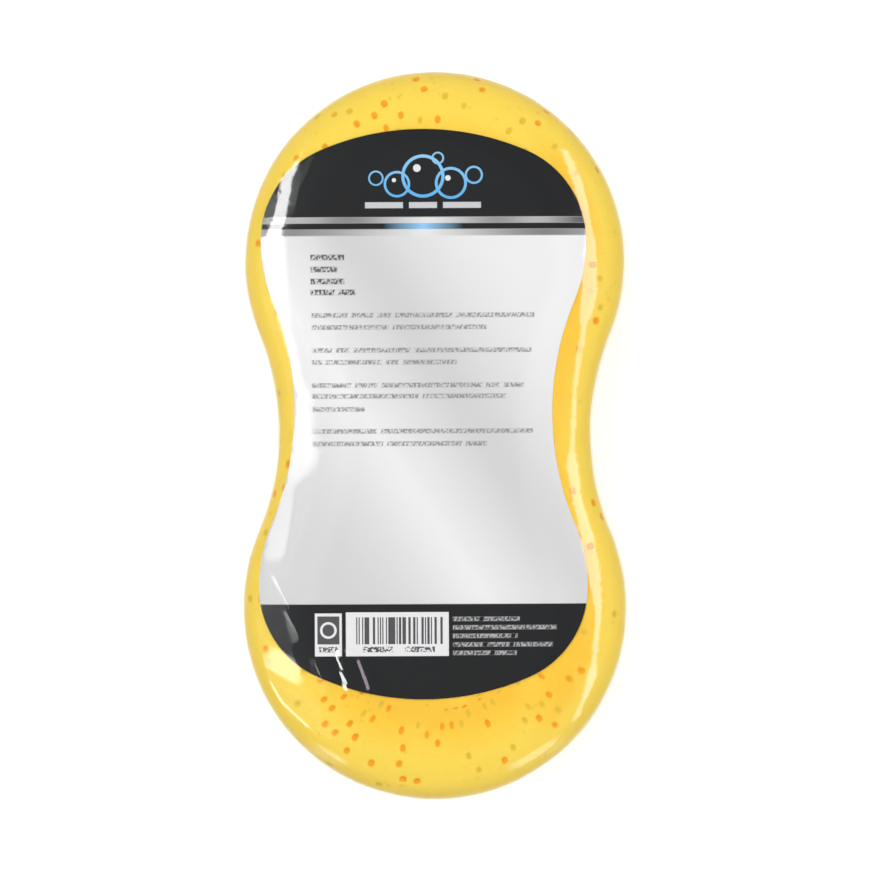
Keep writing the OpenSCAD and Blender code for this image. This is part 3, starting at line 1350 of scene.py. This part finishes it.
@dataclass
class FoamBlock:
    """The yellow foam, with its larger pores modelled as pits.

    Its side swells a little, and it is left plain close to the surface that it lies on. The
    pores are scattered over its face, over its side and, closer together, near its two ends.
    """

    form: WrapForm
    finish: FoamFinish = field(default_factory=FoamFinish)
    columns: int = 244
    side_rows: int = 16
    edge_rows: int = 5
    crown_rows: int = 8
    face_pores: int = 620
    side_pores: int = 230
    end_pores: int = 150
    seed: int = 11
    side_swell: float = 0.00045
    swell_w: float = 0.0032
    flat_below: float = 0.0012
    flat_fade: float = 0.004
    side_w: float = 0.006
    face_z: float = 0.05
    end_y: float = 0.066
    dull_share: float = 0.45
    dull_depth: float = 0.6
    pore_depth: float = 0.0009
    pore_rims: tuple[float, ...] = (0.05, 0.18, 0.30, 0.38)

    def build(self) -> bpy.types.Object:
        """Models and dresses the foam.

        Returns:
            The foam.
        """
        skin = Skin(
            self.form, Ply.FOAM, self.columns, self.side_rows, self.edge_rows, self.crown_rows
        )
        foam, normals, _ = skin.build()
        places = Bench.coordinates(foam)
        inset = self.form.inset_of(places[:, 0], places[:, 1])
        at_side = eased(np.clip(1 - inset / self.swell_w, 0.0, 1.0))
        uneven = ripple(places, 0.022, 1.0) * 0.00024 + ripple(places, 0.007, 2.0) * 0.00012
        swell = np.minimum(uneven, 0.00005 + 0.0001 * at_side) + self.side_swell * at_side
        above = np.clip((places[:, 2] - self.flat_below) / self.flat_fade, 0.0, 1.0)
        Bench.place(foam, places + normals * (swell * above)[:, None])
        self.open_pores(foam)
        Bench.apply(foam, "SUBSURF", levels=1, render_levels=1)
        Bench.finish(foam, "foam_sponge", self.finish.material())
        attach(foam, "root")
        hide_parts("foam_block")
        return foam

    def open_pores(self, foam: bpy.types.Object) -> None:
        """Pushes scattered faces in as pores, and marks them for painted shade, stronger in deeper
        pores.

        Args:
            foam: the plain foam.
        """
        draw = random.Random(self.seed)
        mesh = foam.data
        names = ("pore", "dull")
        for name in names:
            mesh.attributes.new(name, "FLOAT", "POINT")
        centres = [face.center.copy() for face in mesh.polygons]
        on_side = [self.form.inset_of(*centre.xy) < self.side_w for centre in centres]
        inner = [index for index, side in enumerate(on_side) if not side]
        outer = [index for index, side in enumerate(on_side) if side]
        picks = set(draw.sample(inner, self.face_pores) + draw.sample(outer, self.side_pores))
        ends = [
            index
            for index in inner
            if centres[index].z > self.face_z
            and abs(centres[index].y) > self.end_y
            and index not in picks
        ]
        picks.update(draw.sample(ends, self.end_pores))
        Bench.enter(foam)
        edit = bmesh.from_edit_mesh(mesh)
        edit.faces.ensure_lookup_table()
        edit.normal_update()
        layers = {name: edit.verts.layers.float[name] for name in names}
        chosen = [edit.faces[index] for index in sorted(picks)]
        used: set[int] = set()
        for face in chosen:
            corners = {vertex.index for vertex in face.verts}
            if corners & used:
                continue
            used |= corners
            kind = names[draw.random() < self.dull_share]
            rim = draw.choice(self.pore_rims) * math.sqrt(face.calc_area())
            depth = draw.uniform(0.35, 1.0) * (1.0 if kind == "pore" else self.dull_depth)
            centre = face.calc_center_median()
            inside = Vector((0.4 * centre.x, 0.4 * centre.y, self.form.middle_z))
            inwards = -1.0 if face.normal.dot(centre - inside) > 0 else 1.0
            bmesh.ops.inset_individual(
                edit, faces=[face], thickness=rim, depth=inwards * self.pore_depth * depth
            )
            centre = face.calc_center_median()
            squeeze = draw.uniform(0.55, 1.0)
            for place, vertex in enumerate(face.verts):
                if place % 2:
                    vertex.co = centre + (vertex.co - centre) * squeeze
            # the mark sets how strong the pit's painted shade is: deeper pits darker
            for vertex in face.verts:
                vertex[layers[kind]] = 0.4 + 0.6 * depth
        bmesh.update_edit_mesh(mesh)
        Bench.leave()


@dataclass
class PrintedCard:
    """The die-cut card on the upper face, bent down over the rolled edge on its left side."""

    form: WrapForm
    finish: PrintFinish = field(default_factory=PrintFinish)
    margin: float = 0.0073
    dome_r: float = 0.075
    corner_r: float = 0.028
    shift: Spot = (-0.0033, 0.006)
    thick: float = 0.0003
    points: int = 440
    corner_share: float = 0.094
    crisp_over: float = math.radians(40)

    def outline(self) -> Outline:
        """Draws the card's outline, from the top of its upper dome round by the left.

        Returns:
            The outline, in its place on the sponge.
        """
        form = self.form
        waist_x, waist_y, waist_r = form.waist
        up, down = form.waist_angles
        upper, lower = form.upper_r - self.margin, form.lower_r - self.margin
        upper_out, upper_in, upper_turn = self.end(upper)
        lower_out, lower_in, lower_turn = self.end(lower)
        top_meet, foot_meet = RIGHT_ANGLE + upper_turn, 3 * RIGHT_ANGLE - lower_turn
        left = [
            Arc((0.0, form.upper_y - upper_in), self.dome_r, RIGHT_ANGLE, top_meet),
            Arc((-upper_out, form.upper_y), self.corner_r, top_meet, math.pi),
            Arc((0.0, form.upper_y), upper, math.pi, math.pi + up),
            Arc((-waist_x, waist_y), waist_r + self.margin, up, -down),
            Arc((0.0, form.lower_y), lower, math.pi - down, math.pi),
            Arc((-lower_out, form.lower_y), self.corner_r, math.pi, foot_meet),
            Arc((0.0, form.lower_y + lower_in), self.dome_r, foot_meet, 3 * RIGHT_ANGLE),
        ]
        return Outline(left, self.shift)

    def end(self, half_w: float) -> tuple[float, float, float]:
        """Solves one end of the card.

        Args:
            half_w: half the card's width there.

        Returns:
            How far out the corner's centre is, how far in the dome's centre is, and the angle
            from the end's middle to where the two arcs meet.
        """
        out = half_w - self.corner_r
        reach = self.dome_r - self.corner_r
        return out, math.sqrt(reach**2 - out**2), math.asin(out / reach)

    def build(self) -> bpy.types.Object:
        """Models and dresses the card.

        Returns:
            The card.
        """
        Bench.clear_selection()
        bpy.ops.mesh.primitive_circle_add(vertices=self.points, radius=1, fill_type="NOTHING")
        card = bpy.context.object
        shares = np.arange(self.points) / self.points + self.corner_share
        rim, _ = self.outline().at(shares)
        Bench.place(card, np.column_stack([rim, np.zeros(self.points)]))
        Bench.enter(card, "SELECT")
        edit = bmesh.from_edit_mesh(card.data)
        edit.verts.ensure_lookup_table()
        edit.select_history.add(edit.verts[0])
        bmesh.update_edit_mesh(card.data)
        along = int(round((0.5 - 2 * self.corner_share) * self.points))
        bpy.ops.mesh.fill_grid(span=along, offset=0, use_interp_simple=False)
        Bench.leave()
        places = Bench.coordinates(card)
        inset = self.form.inset_of(places[:, 0], places[:, 1])
        places[:, 2] = self.form.height_at(inset, Ply.CARD_TOP)
        Bench.place(card, places)
        Bench.face_outwards(card)
        if card.data.polygons[0].normal.z < 0:
            Bench.enter(card, "SELECT")
            bpy.ops.mesh.flip_normals()
            Bench.leave()
        Bench.apply(card, "SOLIDIFY", thickness=self.thick, offset=-1.0)
        Bench.finish(card, "printed_label_card", self.finish.material())
        Bench.select(card)
        bpy.ops.object.shade_smooth_by_angle(angle=self.crisp_over)
        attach(card, "root")
        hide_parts("printed_card")
        return card


@dataclass(frozen=True)
class Crease:
    """A raised crease of film that runs between two points of the upper face."""

    start: Spot
    end: Spot
    width: float
    rise: float

    def lift(self, places: np.ndarray) -> np.ndarray:
        """Finds how far the crease lifts each point.

        Args:
            places: the points, one row each.

        Returns:
            The lift of each.
        """
        first, last = np.array(self.start), np.array(self.end)
        line = last - first
        length = float(np.linalg.norm(line))
        from_first = places[:, :2] - first
        along = from_first @ line / length**2
        off = (from_first[:, 0] * line[1] - from_first[:, 1] * line[0]) / length
        fade = eased(np.clip(np.minimum(along + 0.12, 1.12 - along) / 0.3, 0.0, 1.0))
        return self.rise * fade * np.exp(-((off / self.width) ** 2))


@dataclass(frozen=True)
class RimFold:
    """A low fold of film that runs along the rolled edge of the upper face."""

    side: int
    rows: Spot
    inset: float
    width: float
    rise: float

    def lift(self, places: np.ndarray, inset: np.ndarray) -> np.ndarray:
        """Finds how far the fold lifts each point.

        Args:
            places: the points, one row each.
            inset: how far in from the outline each point is.

        Returns:
            The lift of each.
        """
        low, high = on_card(0, self.rows[1])[1], on_card(0, self.rows[0])[1]
        y = places[:, 1]
        fade = eased(np.clip(np.minimum(y - low, high - y) / 0.005, 0.0, 1.0))
        fade = fade * (places[:, 0] * self.side > 0)
        return self.rise * fade * np.exp(-(((inset - self.inset) / self.width) ** 2))


@dataclass
class ShrinkFilm:
    """The clear film, drawn tight round the sponge, with its weld and its creases.

    Each row of gathered is where a stretch of gathers is round the outline, how far it spreads,
    how far apart its gathers are and how high.
    """

    form: WrapForm
    finish: FilmFinish = field(default_factory=FilmFinish)
    columns: int = 600
    side_rows: int = 30
    edge_rows: int = 11
    crown_rows: int = 15
    seal_out: float = 0.0004
    seal_half: float = 0.0006
    most_lift: float = 0.0012
    flat_below: float = 0.0006
    flat_fade: float = 0.003
    gathered: tuple[tuple[float, float, float, float], ...] = (
        (0.52, 0.045, 0.0031, 0.00010),
        (0.40, 0.03, 0.0042, 0.00008),
        (0.62, 0.03, 0.0046, 0.00005),
        (0.88, 0.04, 0.0044, 0.00008),
    )
    creased: tuple[Crease, ...] = (
        Crease(on_card(272, 576), on_card(292, 610), 0.0010, 0.00040),
        Crease(on_card(286, 610), on_card(302, 640), 0.0015, 0.00055),
        Crease(on_card(339, 644), on_card(353, 693), 0.0018, 0.00082),
        Crease(on_card(352, 655), on_card(366, 694), 0.0016, 0.00072),
        Crease(on_card(316, 654), on_card(332, 694), 0.0018, 0.00050),
        Crease(on_card(295, 162), on_card(308, 140), 0.0011, 0.00030),
    )
    folded: tuple[RimFold, ...] = (
        RimFold(-1, (478, 572), 0.0015, 0.0026, 0.00030),
        RimFold(-1, (668, 736), 0.0008, 0.0018, 0.00025),
        RimFold(1, (335, 520), 0.0010, 0.0026, 0.00025),
        RimFold(1, (652, 738), 0.0010, 0.0020, 0.00020),
    )

    def build(self) -> bpy.types.Object:
        """Models and dresses the film.

        Returns:
            The film.
        """
        skin = Skin(
            self.form, Ply.FILM, self.columns, self.side_rows, self.edge_rows, self.crown_rows
        )
        film, normals, shares = skin.build()
        places = Bench.coordinates(film)
        lift = self.broad(places) + self.gathers(places, shares) + self.creases(places)
        above = np.clip((places[:, 2] - self.flat_below) / self.flat_fade, 0.0, 1.0)
        lift = np.clip(lift, 0.0, self.most_lift) * above + self.weld(places)
        Bench.place(film, places + normals * lift[:, None])
        Bench.finish(film, "clear_shrink_film", self.finish.material())
        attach(film, "root")
        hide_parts("shrink_film")
        return film

    def broad(self, places: np.ndarray) -> np.ndarray:
        """Makes the film's broad unevenness, which is least where it lies flat.

        Args:
            places: the film's vertices.

        Returns:
            The lift of each.
        """
        inset = self.form.inset_of(places[:, 0], places[:, 1])
        rolled = np.clip(1.2 - inset / self.form.shoulder, 0.05, 1.0)
        return rolled * (
            0.00009 + 0.00016 * ripple(places, 0.014, 3.0) + 0.00005 * ripple(places, 0.005, 4.0)
        )

    def gathers(self, places: np.ndarray, shares: np.ndarray) -> np.ndarray:
        """Makes the fine gathers that run over the rolled edge, in a few stretches of it.

        Args:
            places: the film's vertices.
            shares: how far round the outline each is.

        Returns:
            The lift of each.
        """
        round_it = shares * self.form.outline().girth
        lift = np.zeros(len(places))
        inset = self.form.inset_of(places[:, 0], places[:, 1])
        over_edge = np.clip(1 - np.abs(inset - 0.007) / 0.013, 0.0, 1.0)
        for centre, spread, pitch, rise in self.gathered:
            near = np.exp(-(((shares - centre) / spread) ** 2))
            wave = 0.5 + 0.5 * np.sin(math.tau * round_it / pitch + 2 * ripple(places, 0.03, 5.0))
            lift += near * rise * wave**3
        return lift * over_edge

    def creases(self, places: np.ndarray) -> np.ndarray:
        """Makes the folds and creases of the upper face.

        Args:
            places: the film's vertices.

        Returns:
            The lift of each.
        """
        inset = self.form.inset_of(places[:, 0], places[:, 1])
        lift = np.zeros(len(places))
        for crease in self.creased:
            lift += crease.lift(places)
        for fold in self.folded:
            lift += fold.lift(places, inset)
        return lift * (places[:, 2] > self.form.middle_z)

    def weld(self, places: np.ndarray) -> np.ndarray:
        """Makes the trim weld round the side.

        Args:
            places: the film's vertices.

        Returns:
            How far each stands out.
        """
        height = np.abs(places[:, 2] - self.form.middle_z)
        inset = self.form.inset_of(places[:, 0], places[:, 1])
        return self.seal_out * np.exp(-((height / self.seal_half) ** 4)) * (inset < 0.0)


@dataclass(frozen=True)
class Lamp:
    """A soft area lamp aimed at the sponge."""

    name: str
    place: tuple[float, float, float]
    size: Spot
    power: float
    diffuse: bool = True
    glossy: bool = True
    tint: Colour = (1.0, 1.0, 1.0)
    aim: tuple[float, float, float] = (0.0, 0.0, 0.05)

    def add(self) -> None:
        """Adds the lamp, unseen by the camera."""
        data = bpy.data.lights.new(self.name, "AREA")
        data.shape = "RECTANGLE"
        data.size, data.size_y = self.size
        data.energy = self.power
        data.color = self.tint
        lamp = bpy.data.objects.new(self.name, data)
        bpy.context.scene.collection.objects.link(lamp)
        lamp.location = self.place
        aim = Vector(self.aim) - Vector(self.place)
        lamp.rotation_euler = aim.to_track_quat("-Z", "Y").to_euler()
        lamp.visible_camera = False
        lamp.visible_diffuse = self.diffuse
        lamp.visible_glossy = self.glossy


@dataclass
class Studio:
    """A pale floor, soft lamps and a camera that looks straight down.

    The room's own light is even on the sponge. In the sponge's gloss it falls from the third of
    the numbers of room_seen to the fourth, between the two slopes that come first.
    """

    distance: float = 3.0
    frame_w: float = 0.2505
    silhouette_z: float = 0.047
    sensor: float = 36.0
    floor_w: float = 6.0
    floor_glow: float = 0.45
    room: float = 0.48
    room_seen: tuple[float, float, float, float] = (0.45, 0.9, 0.70, 0.05)
    lamps: tuple[Lamp, ...] = (
        Lamp("left_softbox", (-0.809, -0.09, 0.64), (1.38, 0.79), 34.0, diffuse=False),
        Lamp(
            "right_softbox",
            (0.809, -0.05, 0.64),
            (1.50, 0.79),
            13.0,
            diffuse=False,
            tint=(1.0, 0.80, 1.0),
        ),
        Lamp("low_softbox", (0.0, -0.93, 0.42), (1.70, 0.50), 6.0, diffuse=False),
        Lamp("key_fill", (-0.5, 0.3, 1.4), (1.2, 1.2), 12.0, glossy=False),
        Lamp("right_fill", (0.7, -0.2, 1.2), (1.0, 1.0), 6.0, glossy=False),
    )

    def build(self) -> None:
        """Adds the floor, the lamps, the world and the camera."""
        self.floor()
        for lamp in self.lamps:
            lamp.add()
        self.world()
        self.camera()
        bpy.context.scene.view_settings.view_transform = "Standard"

    def floor(self) -> None:
        """Adds the pale floor, which shows white and keeps the sponge's shadow."""
        Bench.clear_selection()
        bpy.ops.mesh.primitive_plane_add(size=self.floor_w, location=(0, 0, 0))
        floor = bpy.context.object
        floor.name = "floor"
        nodes = Palette("pale_floor")
        path = nodes.node("ShaderNodeLightPath").outputs
        rays = ("Is Camera Ray", "Is Glossy Ray", "Is Transmission Ray")
        seen = nodes.most([path[ray] for ray in rays])
        strength = nodes.math("MULTIPLY", seen, self.floor_glow)
        matte = nodes.node("ShaderNodeBsdfDiffuse", {"Color": (0.8, 0.8, 0.8, 1.0)})
        glow = nodes.node("ShaderNodeEmission", {"Color": (1, 1, 1, 1), "Strength": strength})
        both = nodes.node("ShaderNodeAddShader", {0: matte.outputs[0], 1: glow.outputs[0]})
        floor.data.materials.append(nodes.show(both))

    def world(self) -> None:
        """Lights the room evenly, white to the camera and darker straight overhead."""
        world = bpy.data.worlds.new("studio")
        bpy.context.scene.world = world
        world.use_nodes = True
        tree = world.node_tree
        tree.nodes.clear()
        path = tree.nodes.new("ShaderNodeLightPath")
        coords = tree.nodes.new("ShaderNodeTexCoord")
        split = tree.nodes.new("ShaderNodeSeparateXYZ")
        tree.links.new(coords.outputs["Generated"], split.inputs[0])
        fall = tree.nodes.new("ShaderNodeMapRange")
        for index, value in enumerate(self.room_seen, start=1):
            fall.inputs[index].default_value = value
        tree.links.new(split.outputs[2], fall.inputs[0])
        even = tree.nodes.new("ShaderNodeMix")
        tree.links.new(path.outputs["Is Glossy Ray"], even.inputs[0])
        even.inputs[2].default_value = self.room
        tree.links.new(fall.outputs[0], even.inputs[3])
        seen = tree.nodes.new("ShaderNodeMix")
        tree.links.new(path.outputs["Is Camera Ray"], seen.inputs[0])
        tree.links.new(even.outputs[0], seen.inputs[2])
        seen.inputs[3].default_value = 1.0
        back = tree.nodes.new("ShaderNodeBackground")
        back.inputs["Color"].default_value = (1, 1, 1, 1)
        tree.links.new(seen.outputs[0], back.inputs["Strength"])
        output = tree.nodes.new("ShaderNodeOutputWorld")
        tree.links.new(back.outputs[0], output.inputs["Surface"])

    def camera(self) -> None:
        """Adds the camera, straight above the sponge with a long lens."""
        data = bpy.data.cameras.new("overhead")
        data.sensor_width = self.sensor
        data.lens = self.sensor * (self.distance - self.silhouette_z) / self.frame_w
        data.clip_end = 20.0
        camera = bpy.data.objects.new("overhead", data)
        bpy.context.scene.collection.objects.link(camera)
        camera.location = ((435 - CENTRE_X) * PIXEL, (CENTRE_Y - 435) * PIXEL, self.distance)
        bpy.context.scene.camera = camera


def triangles(piece: bpy.types.Object) -> int:
    """Returns how many triangles a piece has."""
    return sum(len(face.vertices) - 2 for face in piece.data.polygons)


def main() -> None:
    """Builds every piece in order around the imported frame, and reports each."""
    logging.basicConfig(level=logging.INFO, format="%(message)s")
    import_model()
    form = WrapForm()
    for maker in (FoamBlock(form), PrintedCard(form), ShrinkFilm(form)):
        piece = maker.build()
        LOG.info("%s: %d triangles", piece.name, triangles(piece))
    Studio().build()
    LOG.info("studio: floor, lamps and camera")


if __name__ == "__main__":
    main()
